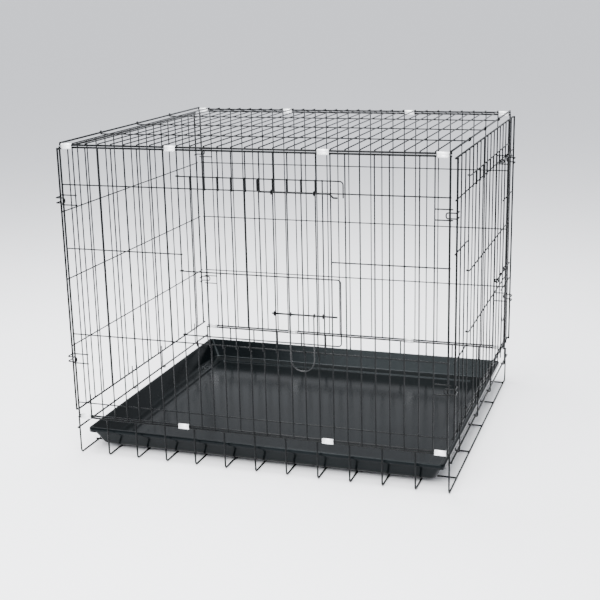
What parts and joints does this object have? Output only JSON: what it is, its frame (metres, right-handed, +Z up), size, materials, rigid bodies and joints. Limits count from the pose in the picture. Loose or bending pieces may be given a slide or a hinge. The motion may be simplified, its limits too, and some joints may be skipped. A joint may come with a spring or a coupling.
{
  "type": "wire dog crate",
  "caption": "Folding welded-wire dog crate with a front door, an end door, sliding bolts and a lift-out plastic tray.",
  "frame": {"origin": "on the floor, under the middle of the base frame", "axes": "+X right along the long front panel, +Y from front to back, +Z up"},
  "size_m": [0.95, 0.8347, 0.7615],
  "materials": {
    "coated_wire": "black electrophoretic coat, semi-gloss",
    "zinc_clip": "bright zinc-plated sheet",
    "moulded_tray": "black moulded plastic, semi-gloss"
  },
  "bodies": {
    "base": {"base_cross_wires": "coated_wire", "base_long_wires": "coated_wire", "base_long_lips": "coated_wire", "base_left_lip": "coated_wire", "base_right_lip": "coated_wire"},
    "tray": {"tray": "moulded_tray"},
    "front_panel": {"front_edge_wires": "coated_wire", "front_posts": "coated_wire", "front_keepers": "coated_wire", "front_clips": "zinc_clip", "front_uprights": "coated_wire", "front_doorway_uprights": "coated_wire", "front_rails": "coated_wire"},
    "back_panel": {"back_edge_wires": "coated_wire", "back_posts": "coated_wire", "back_keepers": "coated_wire", "back_clips": "zinc_clip", "back_uprights": "coated_wire", "back_rails": "coated_wire"},
    "top_panel": {"top_edge_wires": "coated_wire", "top_side_wires": "coated_wire", "top_cross_wires": "coated_wire", "top_long_wires": "coated_wire"},
    "left_end": {"left_edge_wires": "coated_wire", "left_posts": "coated_wire", "left_hooks": "coated_wire", "left_spring_loops": "coated_wire", "left_uprights": "coated_wire", "left_rails": "coated_wire"},
    "right_end": {"right_edge_wires": "coated_wire", "right_posts": "coated_wire", "right_hooks": "coated_wire", "right_spring_loops": "coated_wire", "right_uprights": "coated_wire", "right_doorway_uprights": "coated_wire", "right_rails": "coated_wire"},
    "front_door": {"front_door_frame": "coated_wire", "front_door_top_rail": "coated_wire", "front_door_uprights": "coated_wire", "front_door_guides": "coated_wire"},
    "front_upper_bolt": {"front_upper_bolt": "coated_wire"},
    "front_lower_bolt": {"front_lower_bolt": "coated_wire"},
    "front_handle": {"front_handle": "coated_wire"},
    "end_door": {"end_door_frame": "coated_wire", "end_door_rails": "coated_wire", "end_door_uprights": "coated_wire", "end_door_guides": "coated_wire"},
    "end_upper_bolt": {"end_upper_bolt": "coated_wire"},
    "end_lower_bolt": {"end_lower_bolt": "coated_wire"},
    "end_handle": {"end_handle": "coated_wire"}
  },
  "joints": [
    {"name": "back_fold", "type": "hinge", "parent": "base", "child": "back_panel", "pos_m": [0, 0.4, 0.093], "axis": [-1, 0, 0], "range_deg": [0, 87]},
    {"name": "front_fold", "type": "hinge", "parent": "base", "child": "front_panel", "pos_m": [0, -0.4, 0.093], "axis": [-1, 0, 0], "range_deg": [0, 87]},
    {"name": "top_fold", "type": "hinge", "parent": "back_panel", "child": "top_panel", "pos_m": [0, 0.4, 0.752], "axis": [1, 0, 0], "range_deg": [0, 87]},
    {"name": "left_end_fold", "type": "hinge", "parent": "base", "child": "left_end", "pos_m": [-0.458, 0, 0.065], "axis": [0, 1, 0], "range_deg": [0, 90], "deforming": ["left_spring_loops"]},
    {"name": "right_end_fold", "type": "hinge", "parent": "base", "child": "right_end", "pos_m": [0.458, 0, 0.075], "axis": [0, -1, 0], "range_deg": [0, 90], "deforming": ["right_spring_loops"]},
    {"name": "tray_lift", "type": "slide", "parent": "base", "child": "tray", "axis": [0, 0, -1], "range_m": [-0.06, 0]},
    {"name": "front_door_swing", "type": "hinge", "parent": "front_panel", "child": "front_door", "pos_m": [-0.16071, -0.40365, 0.5], "axis": [0, 0, 1], "range_deg": [-150, 0]},
    {"name": "front_upper_bolt_slide", "type": "slide", "parent": "front_door", "child": "front_upper_bolt", "axis": [1, 0, 0], "range_m": [-0.026, 0]},
    {"name": "front_lower_bolt_slide", "type": "slide", "parent": "front_door", "child": "front_lower_bolt", "axis": [1, 0, 0], "range_m": [-0.026, 0]},
    {"name": "front_handle_swing", "type": "hinge", "parent": "front_lower_bolt", "child": "front_handle", "pos_m": [0.13, -0.41745, 0.393], "axis": [1, 0, 0], "range_deg": [-150, 0]},
    {"name": "end_door_swing", "type": "hinge", "parent": "right_end", "child": "end_door", "pos_m": [0.46225, -0.25446, 0.5], "axis": [0, 0, 1], "range_deg": [-150, 0]},
    {"name": "end_upper_bolt_slide", "type": "slide", "parent": "end_door", "child": "end_upper_bolt", "axis": [0, 1, 0], "range_m": [-0.026, 0]},
    {"name": "end_lower_bolt_slide", "type": "slide", "parent": "end_door", "child": "end_lower_bolt", "axis": [0, 1, 0], "range_m": [-0.026, 0]},
    {"name": "end_handle_swing", "type": "hinge", "parent": "end_lower_bolt", "child": "end_handle", "pos_m": [0.47605, 0.15, 0.372], "axis": [0, 1, 0], "range_deg": [-150, 0]}
  ],
  "couplings": [
    {"joint": "front_fold", "follows": "back_fold", "ratio": 1},
    {"joint": "top_fold", "follows": "back_fold", "ratio": 1}
  ]
}
